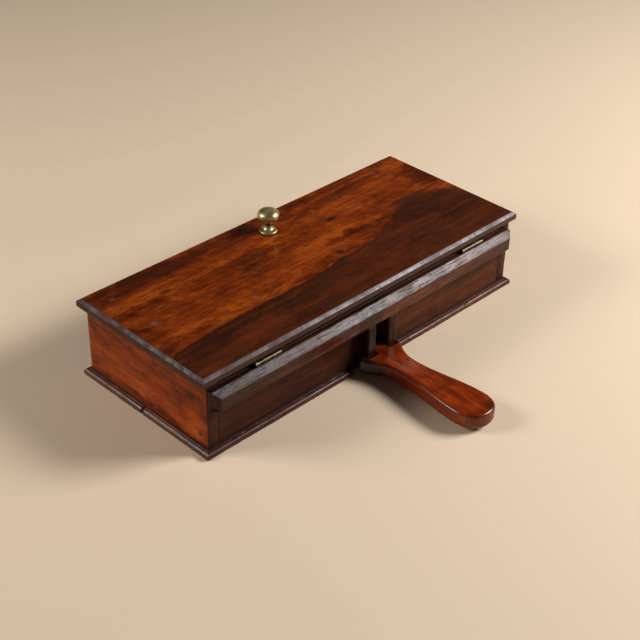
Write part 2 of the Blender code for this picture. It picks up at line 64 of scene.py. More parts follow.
SENSOR_WIDTH = 36.0                     # millimetres, as is the lens
LENS = 75.08
CAMERA_PLACE = (-0.76444, -0.75964, 0.73524)
CAMERA_ANGLES = (55.947, -1.112, -45.018)       # degrees
FLOOR_SIZE = 14.0
FLOOR_COLOUR = (0.79, 0.63, 0.45, 1.0)
HORIZON = (0.10, (0.42, 0.37, 0.31, 1.0))       # height of the direction, and colour
ZENITH = (0.34, (0.024, 0.024, 0.025, 1.0))

INSIDE_X = 188.4 * MM                   # inner faces of the end walls
INSIDE_Y = 72.1 * MM                    # inner faces of the front and back walls
EDGE_WIDTH = 3.6 * MM                   # of the lid's bevel, for its colour
LEVER_SIDE_TOP = 17.5 * MM              # where the lever's sides turn into its top
LEVER_MIDDLE = 3.0 * MM                 # x of the slot and the posts
RAIL_CHAMFER = 6.8 * MM
RAIL_END_CUT = 5.5 * MM                 # off the rail's two front corners
MOULDING_NOSE = 3.3 * MM                # radius of the mouldings' round
MOULDING_STEP = 0.85 * MM               # depth of the quirk behind the round
MOULDING_TOE = 0.5 * MM
MOULDING_WEAR = 0.9 * MM                # how far square ends are worn back at the nose
LID_COLUMNS, LID_ROWS = 110, 46         # faces along and across the lid
LID_SOFTENING = 0.4 * MM                # of its lower edge
SCREW_BODY = {"hinge_lid": "lid", "hinge_case": "case", "pivot_block": "case"}
VOXEL = 0.85 * MM                       # of the lever's remesh
EASING = 11                             # smoothing passes on the lever
KNOB_CROWN = 6.45 * MM                  # from the knob's top to its widest place
KNOB_BELLY = 8.6 * MM                   # its lower half is deeper
KNOB_SWEEP = 150                        # degrees, from the top of the head to its neck
KNOB_STEPS = 26
KNOB_NECK = 3.7 * MM
KNOB_COVE = 4.2 * MM
KNOB_SHANK = 2.4 * MM
ROSE_BORE = 2.7 * MM
THREAD_PITCH = 0.9 * MM
SLOT_SIZE = (0.7 * MM, 1.0 * MM)        # of a screw's slot: width and depth both ways


# --- Camera, floor and lights ------------------------------------------------------------

def aim(item, target):
    """Turn a camera or a light so that its -Z axis points at the target."""
    direction = Vector(target) - item.location
    item.rotation_euler = direction.to_track_quat("-Z", "Y").to_euler()


def make_camera():
    data = bpy.data.cameras.new("camera")
    data.sensor_width = SENSOR_WIDTH
    data.lens = LENS
    camera = bpy.data.objects.new("camera", data)
    camera.location = CAMERA_PLACE
    camera.rotation_euler = [math.radians(angle) for angle in CAMERA_ANGLES]
    bpy.context.scene.collection.objects.link(camera)
    bpy.context.scene.camera = camera


def make_light(name, place, target, width, height, power, colour):
    data = bpy.data.lights.new(name, "AREA")
    data.shape = "RECTANGLE"
    data.size = width
    data.size_y = height
    data.energy = power
    data.color = colour
    light = bpy.data.objects.new(name, data)
    light.location = place
    bpy.context.scene.collection.objects.link(light)
    aim(light, target)


def make_studio():
    """Two softboxes, to the right and to the left of the camera, over a pale floor."""
    make_light("key_softbox", place=(1.20, -1.02, 1.04), target=(0.05, 0.0, 0.05),
               width=0.70, height=0.54, power=41.0, colour=(1.0, 0.985, 0.98))
    make_light("fill_softbox", place=(-1.25, 0.86, 0.96), target=(0.0, 0.0, 0.04),
               width=0.70, height=0.52, power=16.5, colour=(1.0, 0.96, 0.94))
    world = bpy.data.worlds.new("studio")
    world.use_nodes = True
    nodes, links = world.node_tree.nodes, world.node_tree.links
    nodes["Background"].inputs["Strength"].default_value = 1.0
    direction = nodes.new("ShaderNodeSeparateXYZ")
    links.new(nodes.new("ShaderNodeTexCoord").outputs["Generated"], direction.inputs[0])
    sky = nodes.new("ShaderNodeValToRGB")           # pale near the horizon, dark overhead
    links.new(direction.outputs["Z"], sky.inputs["Fac"])
    for element, (position, colour) in zip(sky.color_ramp.elements, (HORIZON, ZENITH)):
        element.position = position
        element.color = colour
    links.new(sky.outputs["Color"], nodes["Background"].inputs["Color"])
    bpy.context.scene.world = world
    bpy.context.scene.view_settings.view_transform = "Standard"

    bpy.ops.mesh.primitive_plane_add(size=FLOOR_SIZE, location=(0, 0, 0))
    floor = bpy.context.active_object
    floor.name = "studio_floor"
    tree = Tree("studio_floor")
    tree.set("Base Color", FLOOR_COLOUR)
    tree.set("Roughness", 0.75)
    floor.data.materials.append(tree.material)


# --- Materials ---------------------------------------------------------------------------

class Tree:
    """A material, and short calls that build its nodes."""

    def __init__(self, name):
        self.material = bpy.data.materials.new(name)
        self.material.use_nodes = True
        self.nodes = self.material.node_tree.nodes
        self.links = self.material.node_tree.links
        self.shader = self.nodes["Principled BSDF"]

    def put(self, socket, value):
        if isinstance(value, bpy.types.NodeSocket):
            self.links.new(value, socket)
        else:
            socket.default_value = value

    def set(self, name, value):
        self.put(self.shader.inputs[name], value)

    def add(self, kind, inputs=None, **settings):
        node = self.nodes.new(kind)
        for name, value in settings.items():
            setattr(node, name, value)
        for name, value in (inputs or {}).items():
            self.put(node.inputs[name], value)
        return node

    def place(self):
        """The point on the piece, in the frame's metres."""
        return self.add("ShaderNodeTexCoord").outputs["Object"]

    def axes(self):
        return self.add("ShaderNodeSeparateXYZ", {"Vector": self.place()}).outputs

    def math(self, operation, first, second=0.0):
        node = self.add("ShaderNodeMath", operation=operation)
        self.put(node.inputs[0], first)
        self.put(node.inputs[1], second)
        return node.outputs[0]

    def swing(self, value, amount):
        """A noise that runs about 0 in place of 0.5, times the amount."""
        return self.math("MULTIPLY", self.math("SUBTRACT", value, 0.5), amount)

    def noise(self, scale, detail=3.0, roughness=0.55, distortion=0.0, shift=0.0, vector=None):
        """Noise whose scale is given for each axis, in cycles a metre."""
        mapping = self.add("ShaderNodeMapping", {
            "Vector": vector or self.place(), "Scale": scale, "Location": (shift, shift, shift)})
        node = self.add("ShaderNodeTexNoise", {
            "Vector": mapping.outputs[0], "Scale": 1.0, "Detail": detail,
            "Roughness": roughness, "Distortion": distortion})
        return node.outputs[0]

    def spread(self, value, low, high, to_low=0.0, to_high=1.0):
        """A smooth step from to_low to to_high, as the value goes from low to high."""
        node = self.add("ShaderNodeMapRange", {
            "Value": value, "From Min": low, "From Max": high, "To Min": to_low,
            "To Max": to_high}, interpolation_type="SMOOTHSTEP")
        return node.outputs["Result"]

    def ramp(self, value, stops):
        """A colour for each value, from (position, colour) stops."""
        node = self.add("ShaderNodeValToRGB", {"Fac": value})
        elements = node.color_ramp.elements
        while len(elements) < len(stops):
            elements.new(0.5)
        for element, (position, colour) in zip(elements, stops):
            element.position = position
            element.color = (*colour, 1.0)
        return node.outputs["Color"]

    def mix(self, amount, first, second):
        """The first colour where the amount is 0, and the second where it is 1."""
        node = self.add("ShaderNodeMix", data_type="RGBA", blend_type="MIX")
        self.put(node.inputs["Factor"], amount)
        for name, value in (("A", first), ("B", second)):
            socket = [s for s in node.inputs if s.name == name and s.type == "RGBA"][0]
            self.put(socket, (*value, 1.0) if isinstance(value, tuple) else value)
        return [s for s in node.outputs if s.type == "RGBA"][0]

    def bump(self, height, strength, distance, below=None):
        inputs = {"Height": height, "Strength": strength, "Distance": distance}
        if below:
            inputs["Normal"] = below
        return self.add("ShaderNodeBump", inputs).outputs["Normal"]


def along_grain(grain, along, across):
    """A noise scale that is stretched along the grain's axis."""
    return tuple(along if axis == grain else across for axis in "XYZ")


def wood(name, grain, stops, gloss=(0.26, 0.42), pore_depth=0.12, worn=0.5, polish=0.5,
         contrast=1.4, lean=None, figure=None, dull=None):
    """Mahogany: broad and fine streaks, pores, and a polish that is thin in places.

    lean(tree) may add to the tone, and figure(tree, colour, tone) may change the colour, with
    what belongs to one board only. dull(tree) is 1 where the polish has gone.
    """
    tree = Tree(name)
    broad = tree.noise(along_grain(grain, 3.2, 34), 4, 0.6, 0.6)
    streak = tree.noise(along_grain(grain, 9, 190), 5, 0.62, 0.25, shift=3.1)
    fleck = tree.noise(along_grain(grain, 75, 900), 3, 0.6, shift=7.7)
    cross = tree.noise(along_grain(grain, 46, 26), 3, 0.55, 0.8, shift=1.3)
    tone = tree.swing(broad, 0.40 * contrast)
    for layer, share in ((streak, 0.30), (fleck, 0.28), (cross, 0.10)):
        layer = tree.swing(layer, share * contrast)
        tone = tree.math("ADD", tone, layer)
    tone = tree.math("ADD", tone, 0.5)
    if lean:
        tone = tree.math("ADD", tone, lean(tree))
    colour = tree.ramp(tone, stops)
    pores = tree.noise(along_grain(grain, 60, 1100), 2, 0.5, shift=5.0)
    pore = tree.spread(pores, 0.58, 0.70)
    colour = tree.mix(tree.math("MULTIPLY", pore, 0.68), colour, PORE)
    grime = tree.spread(tree.noise((38, 38, 38), 4, 0.6, shift=9.0), 0.56, 0.76)
    colour = tree.mix(tree.math("MULTIPLY", grime, 0.45 * worn), colour, GRIME)
    if figure:
        colour = figure(tree, colour, tone)
    tree.set("Base Color", colour)
    patch = tree.noise((52, 52, 52), 5, 0.65, shift=2.0)
    shine = tree.math("ADD", tree.math("MULTIPLY", patch, 0.6), tree.math("MULTIPLY", fleck, 0.4))
    shine = tree.math("ADD", shine, tree.math("MULTIPLY", pore, 0.22))
    rough = tree.spread(shine, 0.34, 0.74, gloss[0], gloss[1])
    if dull:
        rough = tree.math("ADD", rough, tree.math("MULTIPLY", dull(tree), 0.18))
    tree.set("Roughness", rough)
    tree.set("Specular IOR Level", polish)
    ripple = tree.bump(tree.noise((95, 95, 95), 3, 0.6, shift=4.0), 0.25, 0.35 * MM)
    lines = tree.math("SUBTRACT", tree.math("ADD", streak, tree.math("MULTIPLY", fleck, 1.3)), pore)
    tree.set("Normal", tree.bump(lines, pore_depth, 0.2 * MM, ripple))
    return tree.material


# Colours from the darkest streaks of each wood or metal to its palest: (tone, colour).
# BARE is for the insides, which aren't polished.
MAHOGANY = [(0.32, (0.055, 0.0085, 0.0012)), (0.43, (0.125, 0.0180, 0.0016)),
            (0.53, (0.200, 0.0300, 0.0020)), (0.66, (0.340, 0.0680, 0.0050))]
CASE_FRONT = [(0.32, (0.016, 0.0036, 0.0010)), (0.46, (0.036, 0.0075, 0.0018)),
              (0.58, (0.066, 0.0140, 0.0034)), (0.70, (0.110, 0.0250, 0.0060))]
# The end walls: the wood's own orange, made lighter than CASE_FRONT as painted light.
LIT_CASE_END = [(0.32, (0.085, 0.0150, 0.0034)), (0.44, (0.180, 0.0280, 0.0040)),
            (0.56, (0.285, 0.0450, 0.0056)), (0.68, (0.400, 0.0820, 0.0110))]
TRIM = [(0.32, (0.018, 0.0044, 0.0018)), (0.46, (0.044, 0.0100, 0.0034)),
        (0.58, (0.080, 0.0190, 0.0060)), (0.70, (0.135, 0.0360, 0.0110))]
# The end mouldings: a lighter copy of TRIM, as painted light.
LIT_SIDE_TRIM = [(0.32, (0.036, 0.0100, 0.0050)), (0.46, (0.085, 0.0260, 0.0130)),
             (0.58, (0.150, 0.0500, 0.0260)), (0.70, (0.230, 0.1000, 0.0620))]
# The guide posts: a darker copy of TRIM, as painted shade under the rail.
SHADED_POST = [(0.32, (0.010, 0.0030, 0.0014)), (0.46, (0.022, 0.0058, 0.0024)),
        (0.58, (0.044, 0.0130, 0.0050)), (0.70, (0.080, 0.0250, 0.0090))]
LEVER = [(0.32, (0.070, 0.0080, 0.0015)), (0.44, (0.165, 0.0185, 0.0022)),
         (0.56, (0.270, 0.0350, 0.0034)), (0.68, (0.390, 0.0640, 0.0070))]
INNER = [(0.32, (0.110, 0.0480, 0.018)), (0.46, (0.190, 0.0900, 0.036)),
         (0.58, (0.270, 0.1400, 0.062)), (0.70, (0.350, 0.1950, 0.095))]
BARE = [(0.32, (0.060, 0.0230, 0.0085)), (0.46, (0.110, 0.0440, 0.016)),
        (0.58, (0.165, 0.0700, 0.026)), (0.70, (0.220, 0.1020, 0.042))]
HEART = [(0.38, (0.024, 0.0070, 0.0030)), (0.50, (0.058, 0.0125, 0.0042)),
         (0.62, (0.105, 0.0210, 0.0050))]
BEVEL = [(0.38, (0.020, 0.0065, 0.0065)), (0.62, (0.064, 0.0230, 0.0200))]
BRASS = [(0.36, (0.40, 0.295, 0.130)), (0.52, (0.56, 0.43, 0.20)), (0.66, (0.70, 0.57, 0.30))]
TARNISH = [(0.36, (0.032, 0.025, 0.015)), (0.52, (0.088, 0.071, 0.045)),
           (0.66, (0.20, 0.175, 0.130))]
STEEL = [(0.36, (0.020, 0.014, 0.010)), (0.56, (0.060, 0.048, 0.038)), (0.70, (0.14, 0.12, 0.10))]

# Single colours: dirt, stains, and painted shade and shadow.
PORE = (0.012, 0.004, 0.002)
GRIME = (0.02, 0.009, 0.006)
# The knots' colour, also used for a painted shadow of the knob on the lid.
KNOT_AND_SHADOW = (0.014, 0.008, 0.006)
HEART_RIM = (0.014, 0.005, 0.003)
BACK_BAND = (0.040, 0.010, 0.004)
SPECK = (0.30, 0.17, 0.10)
BRUISE = (0.30, 0.20, 0.15)
LID_SIDE = (0.044, 0.0115, 0.0035)
# Painted shadow on the lever's root.
ROOT_SHADOW = (0.016, 0.0055, 0.003)
# Painted shade on the left post; it also darkens the rail's left end.
TRIM_SHADE = (0.010, 0.0032, 0.0014)
END_GRIME = (0.034, 0.017, 0.010)
END_FACE = (0.024, 0.0070, 0.0026)
# Dirt along the moulding, and painted shade along the walls' tops under the rail.
WALL_DIRT_AND_SHADE = (0.012, 0.005, 0.003)
# Painted shadow of the left post on the front wall.
WALL_SHADE = (0.012, 0.0035, 0.0012)
# Painted shade in the lever's slot.
SLOT_SHADE = (0.004, 0.002, 0.001)
# Painted shade where the bottom board's edge shows under the walls.
BOTTOM_RIM_SHADE = (0.010, 0.004, 0.002)
# Painted shade under the knob's head.
KNOB_NECK_SHADE = (0.050, 0.030, 0.013)

# The edge of the lid's dark heartwood: (x, y) along the board, in millimetres.
HEART_EDGE = [(-206, -44), (-196, -39), (-165, -36), (-115, -33), (-28, -33), (0, -30), (13, -26),
              (33, -28), (70, -22), (86, -16), (111, -1), (144, 15), (163, 14), (183, 4),
              (207, -13)]
# Knots and stains on the lid, the last one a painted shadow of the knob: (x, y, half length, half
# width) in millimetres, and strength.
LID_KNOTS_AND_KNOB_SHADOW = [(-142, 42, 6.5, 2.4, 0.75), (61, 31.5, 6.0, 2.6, 0.8), (23, -18, 4.2, 3.2, 0.8),
             (14, -28.5, 4.8, 2.6, 0.6), (-73, -1, 3.0, 2.0, 0.5), (165, 45, 7, 3.0, 0.4),
             (-13, 74, 12, 10, 0.55)]
# Broad shades of the orange wood: (x, y, half length, half width) in millimetres, and the
# change of tone, which is less than nothing for a darker shade.
LID_SHADES = [(-150, 74, 75, 16, -0.16), (-60, 62, 50, 8, -0.09), (-182, 32, 34, 6, -0.12),
              (-70, 33, 55, 6, -0.08), (-35, 20, 45, 6, -0.07), (66, -2, 40, 7, -0.15),
              (120, 66, 55, 6, -0.08), (196, 40, 20, 30, -0.14), (-196, -10, 14, 26, -0.06),
              (-115, -16, 90, 14, 0.09), (5, -8, 60, 16, 0.08), (30, 14, 60, 10, 0.09),
              (110, 38, 40, 12, 0.06)]
# The same for the heartwood.
HEART_SHADES = [(-167, -49, 30, 12, -0.11), (-188, -77, 24, 7, 0.12), (-112, -62, 28, 16, 0.05),
                (152, -14, 55, 24, -0.09), (40, -60, 70, 12, 0.04), (-30, -48, 60, 8, -0.04)]
# The same for the end walls: (y, z, half length, half width) and the change of tone.
END_SHADES = [(-64, 34, 13, 20, 0.10), (-28, 22, 60, 5, 0.10), (35, 30, 60, 6, 0.08),
              (-20, 12, 75, 3.5, -0.14), (60, 60, 40, 9, -0.08), (0, 44, 50, 4, 0.06),
              (-60, 50, 22, 10, -0.06)]
# Nail marks and smudges on the end walls: (y, z, half length, half width).
END_SPOTS = [(73, 17, 3.4, 3.0), (72, 56, 4.5, 4.0), (-60, 53, 5, 5), (-45, 38, 4, 3),
             (-72, 18, 3.2, 3.2), (20, 60, 4, 2.4), (-14, 61, 5, 2.2)]
# Pale bruises: (x, y, size).
LID_SPECKS = [(-180, 8, 4.5), (-184, 64, 3.0), (-199, 63, 2.2), (-200, 45, 2.0), (-89, -21, 3.6)]


def spot(tree, x, y, centre, size, core=0.35):
    """1 inside an ellipse's core, falling softly to 0 outside the ellipse."""
    across = tree.math("DIVIDE", tree.math("SUBTRACT", x, centre[0]), size[0])
    deep = tree.math("DIVIDE", tree.math("SUBTRACT", y, centre[1]), size[1])
    radius = tree.math("ADD", tree.math("MULTIPLY", across, across),
                       tree.math("MULTIPLY", deep, deep))
    return tree.spread(radius, 1.5, core)


def add_shades(tree, tone, x, y, shades):
    """Add soft ellipses of lighter or darker wood to the tone."""
    for cx, cy, half_length, half_width, change in shades:
        shade = spot(tree, x, y, (cx * MM, cy * MM), (half_length * MM, half_width * MM), 0.0)
        tone = tree.math("ADD", tone, tree.math("MULTIPLY", shade, change))
    return tone


def level(tree, share, points, reach):
    """A height that follows the (share, height) points, for heights up to reach either way.

    A colour ramp holds the points: its white stands for +reach, and its black for -reach.
    """
    stops = [(at, ((height / reach + 1) / 2,) * 3) for at, height in points]
    node = tree.math("MULTIPLY_ADD", tree.ramp(share, stops), 2 * reach).node
    node.inputs[2].default_value = -reach
    return node.outputs[0]


def lid_lean(tree):
    """The lid's broad shades, its mottle, and the ribbon figure that slants across the grain."""
    axes = tree.axes()
    x, y = axes["X"], axes["Y"]
    slant = tree.math("ADD", x, tree.math("MULTIPLY", y, 0.9))
    ribbon = tree.add("ShaderNodeCombineXYZ", {"X": slant, "Y": y, "Z": 0.0}).outputs[0]
    ribbon = tree.noise((230, 60, 1), 3, 0.6, 0.4, shift=5.5, vector=ribbon)
    mottle = tree.noise((34, 70, 40), 5, 0.66, 0.6, shift=12.0)
    total = tree.math("ADD", tree.swing(ribbon, 0.24),
                      tree.swing(mottle, 0.50))
    stray = tree.swing(mottle, 40 * MM)
    return add_shades(tree, total, x, tree.math("ADD", y, stray), LID_SHADES)


def lid_figure(tree, colour, tone):
    """The lid's heartwood, knots, a painted shadow of the knob, dark bevel and bare underside."""
    axes = tree.axes()
    x, y = axes["X"], axes["Y"]
    length = LID_HIGH.x - LID_LOW.x
    share = tree.math("DIVIDE", tree.math("SUBTRACT", x, LID_LOW.x), length)
    edge = level(tree, share, [((px * MM - LID_LOW.x) / length, py * MM)
                               for px, py in HEART_EDGE], 100 * MM)
    wander = tree.noise((110, 160, 42), 5, 0.62, 0.5, shift=6.0)
    loose = tree.spread(x, 30 * MM, 100 * MM, 5 * MM, 26 * MM)
    wander = tree.swing(wander, loose)
    depth = tree.math("SUBTRACT", tree.math("ADD", edge, wander), y)
    # The border is crisp at the left, and runs out into the orange wood at the right.
    soft = tree.spread(x, 20 * MM, 110 * MM, 1.4 * MM, 9.0 * MM)
    heart = tree.spread(tree.math("DIVIDE", depth, soft), -1.0, 1.0)
    rim = tree.math("MULTIPLY", tree.spread(depth, -1.6 * MM, 0.0),
                    tree.spread(depth, 4.0 * MM, 0.5 * MM))
    rim = tree.math("MULTIPLY", rim, tree.spread(x, 105 * MM, 70 * MM))
    streak = tree.noise((8, 150, 60), 5, 0.62, 0.4, shift=2.2)
    blotch = tree.noise((24, 60, 40), 4, 0.62, 0.6, shift=14.0)
    fine = tree.noise((160, 420, 200), 3, 0.6, 0.5, shift=16.0)
    grain = tree.math("ADD", tree.math("MULTIPLY", streak, 0.38),
                      tree.math("MULTIPLY", blotch, 0.40))
    grain = tree.math("ADD", grain, tree.math("MULTIPLY", fine, 0.22))
    strayed = tree.math("ADD", y, wander)
    grain = add_shades(tree, grain, x, strayed, HEART_SHADES)
    colour = tree.mix(tree.math("MULTIPLY", heart, 0.92), colour, tree.ramp(grain, HEART))
    colour = tree.mix(tree.math("MULTIPLY", rim, 0.55), colour, HEART_RIM)
    # The last spot is a painted shadow cast by the knob.
    for cx, cy, half_length, half_width, strength in LID_KNOTS_AND_KNOB_SHADOW:
        mark = spot(tree, x, y, (cx * MM, cy * MM), (half_length * MM, half_width * MM))
        colour = tree.mix(tree.math("MULTIPLY", mark, strength), colour, KNOT_AND_SHADOW)
    back = tree.spread(y, LID_HIGH.y - 34 * MM, LID_HIGH.y - 4 * MM)
    bands = tree.spread(tree.noise((3, 110, 60), 4, 0.6, shift=8.8), 0.44, 0.60)
    band = tree.math("MULTIPLY", back, bands)
    colour = tree.mix(tree.math("MULTIPLY", band, 0.55), colour, BACK_BAND)
    specks = tree.spread(tree.noise((420, 420, 420), 2, 0.5, shift=1.0), 0.74, 0.80)
    colour = tree.mix(tree.math("MULTIPLY", specks, 0.30), colour, SPECK)
    broken = tree.spread(tree.noise((900, 900, 900), 3, 0.7, shift=18.0), 0.46, 0.66)
    for cx, cy, size in LID_SPECKS:
        dab = spot(tree, x, strayed, (cx * MM, cy * MM), (size * MM, size * MM), 0.0)
        dab = tree.math("MULTIPLY", tree.math("MULTIPLY", dab, broken), 0.60)
        colour = tree.mix(dab, colour, BRUISE)
    scuff = tree.ramp(tree.noise((120, 120, 120), 4, 0.7, shift=29.0), BEVEL)
    colour = tree.mix(tree.math("MULTIPLY", board_edge(tree, axes), 0.88), colour, scuff)
    side = tree.spread(axes["Z"], LID_HIGH.z - 2.9 * MM, LID_HIGH.z - 3.5 * MM)
    colour = tree.mix(tree.math("MULTIPLY", side, 0.94), colour, LID_SIDE)
    under = tree.spread(axes["Z"], LID_LOW.z + 0.5 * MM, LID_LOW.z + 0.1 * MM)
    return tree.mix(tree.math("MULTIPLY", under, 0.95), colour, tree.ramp(tone, BARE))


def lid_dull(tree):
    """The lid's bevel has lost its polish, most of all towards the left end."""
    patch = tree.spread(tree.noise((70, 70, 70), 5, 0.7, shift=27.0), 0.40, 0.62, 0.5, 1.2)
    x = tree.axes()["X"]
    left = tree.math("MULTIPLY", tree.spread(x, -150 * MM, 0.0, 1.5, 1.0),
                     tree.spread(x, LID_LOW.x + 5 * MM, LID_LOW.x + 4 * MM, 1.0, 1.2))
    patch = tree.math("MULTIPLY", patch, left)
    return tree.math("MULTIPLY", board_edge(tree, tree.axes()), patch)


def board_edge(tree, axes):
    """1 on the lid's bevel, 0 on its flat top."""
    outside = 0.0
    for axis, low, high in (("X", LID_LOW.x, LID_HIGH.x), ("Y", LID_LOW.y, LID_HIGH.y)):
        offset = tree.math("ABSOLUTE", tree.math("SUBTRACT", axes[axis], (low + high) / 2))
        outside = tree.math("MAXIMUM", outside,
                            tree.spread(offset, (high - low) / 2 - EDGE_WIDTH,
                                        (high - low) / 2 - EDGE_WIDTH + 0.5 * MM))
    return outside


def lever_tone_and_shade(tree):
    """The lever's tone: painted shade at its root by the posts, down its sides and at its tip, a
    lighter neck, and a cloud of lighter and darker wood.
    """
    axes = tree.axes()
    # Painted shade: darker at the root by the posts, down the sides, and at the tip.
    root = tree.spread(axes["Y"], -118 * MM, -98 * MM, 0.0, -0.09)
    side = tree.spread(axes["Z"], LEVER_SIDE_TOP, LEVER_SIDE_TOP - 4 * MM, 0.0, -0.02)
    cloud = tree.noise((50, 22, 50), 5, 0.66, 0.6, shift=19.0)
    tip_shade = tree.spread(axes["Y"], -208 * MM, -220 * MM, 0.0, -0.11)
    neck = spot(tree, axes["X"], axes["Y"], (2 * MM, -124 * MM), (13 * MM, 20 * MM), 0.0)
    total = tree.swing(cloud, 0.45)
    for part in (root, side, tip_shade, tree.math("MULTIPLY", neck, 0.10)):
        total = tree.math("ADD", total, part)
    return total


def lever_root_shadow(tree, colour, tone):
    """Painted shadow on the sides of the lever's root, and on its left end beside the left post's
    foot.
    """
    axes = tree.axes()
    root = tree.spread(axes["Y"], -122 * MM, -100 * MM)
    side = tree.spread(axes["Z"], LEVER_SIDE_TOP, LEVER_SIDE_TOP - 3 * MM)
    left = tree.spread(axes["X"], LEVER_LOW.x + 11 * MM, LEVER_LOW.x + 6 * MM)
    dirt = tree.math("MULTIPLY", root, tree.math("MAXIMUM", side, left))
    return tree.mix(tree.math("MULTIPLY", dirt, 0.85), colour, ROOT_SHADOW)


def trim_post_shade_and_dark_end(tree, colour, tone):
    """The rail's left end is darker, and painted shade darkens the left post and the rail just
    above it.
    """
    axes = tree.axes()
    x = axes["X"]
    # Painted shade on the left post and the rail above it.
    post = tree.math("MULTIPLY", tree.spread(x, -30 * MM, -28 * MM),
                     tree.spread(x, LEVER_MIDDLE, LEVER_MIDDLE - 2 * MM))
    end = tree.spread(x, -110 * MM, -165 * MM)
    dark = tree.math("MAXIMUM", tree.math("MULTIPLY", post, 0.6), tree.math("MULTIPLY", end, 0.55))
    dark = tree.math("MULTIPLY", dark, tree.spread(axes["Z"], 16 * MM, 20 * MM))
    return tree.mix(dark, colour, TRIM_SHADE)


def end_lean(tree):
    """Streaks on the end walls: a light one that slopes down to the front, and dark ones."""
    axes = tree.axes()
    y, z = axes["Y"], axes["Z"]
    cloud = tree.noise((40, 24, 60), 5, 0.66, 0.8, shift=15.0)
    total = tree.swing(cloud, 0.42)
    stray = tree.swing(cloud, 26 * MM)
    height = tree.math("ADD", tree.math("SUBTRACT", z, tree.math("MULTIPLY", y, 0.08)), stray)
    return add_shades(tree, total, y, height, END_SHADES)


def end_figure(tree, colour, tone):
    """The end walls' dark front edges, the grime beside their corners, and a darkening along their
    tops under the lid.
    """
    axes = tree.axes()
    x, y, z = axes["X"], axes["Y"], axes["Z"]
    front = WALL_LOW.y
    face = tree.spread(y, front + 1.0 * MM, front + 0.2 * MM)
    cloud = tree.noise((60, 90, 90), 4, 0.6, shift=4.4)
    reach = tree.math("MULTIPLY", cloud, 20 * MM)
    corner = tree.spread(tree.math("SUBTRACT", y, reach), front - 4 * MM, front - 16 * MM)
    # Darker along the top, under the lid.
    under = tree.spread(tree.math("ADD", z, tree.math("MULTIPLY", cloud, 26 * MM)),
                        LID_LOW.z - 3 * MM, LID_LOW.z + 10 * MM)
    smut = tree.spread(tree.noise((150, 120, 150), 4, 0.68, 0.5, shift=23.0), 0.56, 0.72)
    grime = tree.math("MAXIMUM", tree.math("MAXIMUM", corner, under),
                      tree.math("MULTIPLY", smut, 0.8))
    for cy, cz, half_length, half_width in END_SPOTS:
        mark = spot(tree, y, z, (cy * MM, cz * MM), (half_length * MM, half_width * MM))
        grime = tree.math("MAXIMUM", grime, mark)
    colour = tree.mix(tree.math("MULTIPLY", grime, 0.62), colour, END_GRIME)
    colour = tree.mix(tree.math("MULTIPLY", face, 0.9), colour, END_FACE)
    inside = tree.spread(tree.math("ABSOLUTE", x), INSIDE_X + 0.2 * MM, INSIDE_X - 0.2 * MM)
    return tree.mix(tree.math("MULTIPLY", inside, 0.95), colour, tree.ramp(tone, BARE))


def long_wall_dirt_and_shade(tree, colour, tone):
    """The front and back walls: bare inside, with dirt along the moulding, painted shade along
    their tops under the rail, a painted shadow of the left post and painted shade in the lever's
    slot.
    """
    axes = tree.axes()
    y, z = axes["Y"], axes["Z"]
    ragged = tree.math("MULTIPLY", tree.noise((30, 60, 120), 4, 0.6, shift=3.3), 10 * MM)
    low = tree.spread(tree.math("ADD", z, ragged), 17 * MM, 10 * MM)
    # Painted shade along the top, under the rail.
    high = tree.spread(z, 66 * MM, 68 * MM)
    dirt = tree.math("MAXIMUM", low, high)
    colour = tree.mix(tree.math("MULTIPLY", dirt, 0.7), colour, WALL_DIRT_AND_SHADE)
    front = tree.spread(y, 0.0, -10 * MM)
    # Painted shadow of the left post on the front wall, to its left.
    post_shadow = tree.math("MULTIPLY", tree.spread(axes["X"], -66 * MM, -24 * MM), front)
    post_shadow = tree.math("MULTIPLY", post_shadow, tree.spread(axes["X"], 10 * MM, 0.0))
    colour = tree.mix(tree.math("MULTIPLY", post_shadow, 0.6), colour, WALL_SHADE)
    # Painted shade in the lever's slot, between the posts.
    across = tree.math("ABSOLUTE", tree.math("SUBTRACT", axes["X"], LEVER_MIDDLE))
    slot = tree.math("MULTIPLY", tree.spread(across, 13 * MM, 11 * MM), front)
    colour = tree.mix(tree.math("MULTIPLY", slot, 0.92), colour, SLOT_SHADE)
    inside = tree.spread(tree.math("ABSOLUTE", y), INSIDE_Y + 0.3 * MM, INSIDE_Y - 0.3 * MM)
    return tree.mix(tree.math("MULTIPLY", inside, 0.95), colour, tree.ramp(tone, BARE))


def bottom_shaded_rim(tree, colour, tone):
    """The bottom board is painted in shade where its edge shows, under the walls."""
    axes = tree.axes()
    rim = tree.math("MAXIMUM", tree.spread(tree.math("ABSOLUTE", axes["X"]), 186 * MM, 189 * MM),
                    tree.spread(tree.math("ABSOLUTE", axes["Y"]), 70 * MM, 73 * MM))
    return tree.mix(tree.math("MULTIPLY", rim, 0.95), colour, BOTTOM_RIM_SHADE)


def worn_metal(name, colours, gloss, metallic=1.0, figure=None):
    """Brass or steel with a dull skin, rubbed bright in places."""
    tree = Tree(name)
    cloud = tree.noise((140, 140, 140), 5, 0.62)
    fine = tree.noise((900, 900, 900), 3, 0.6, shift=3.0)
    tone = tree.math("ADD", tree.math("MULTIPLY", cloud, 0.75), tree.math("MULTIPLY", fine, 0.25))
    colour = tree.ramp(tone, colours)
    if figure:
        colour = figure(tree, colour)
    tree.set("Base Color", colour)
    tree.set("Metallic", metallic)
    tree.set("Roughness", tree.spread(tone, 0.36, 0.66, gloss[0], gloss[1]))
    tree.set("Normal", tree.bump(fine, 0.08, 0.1 * MM))
    return tree.material


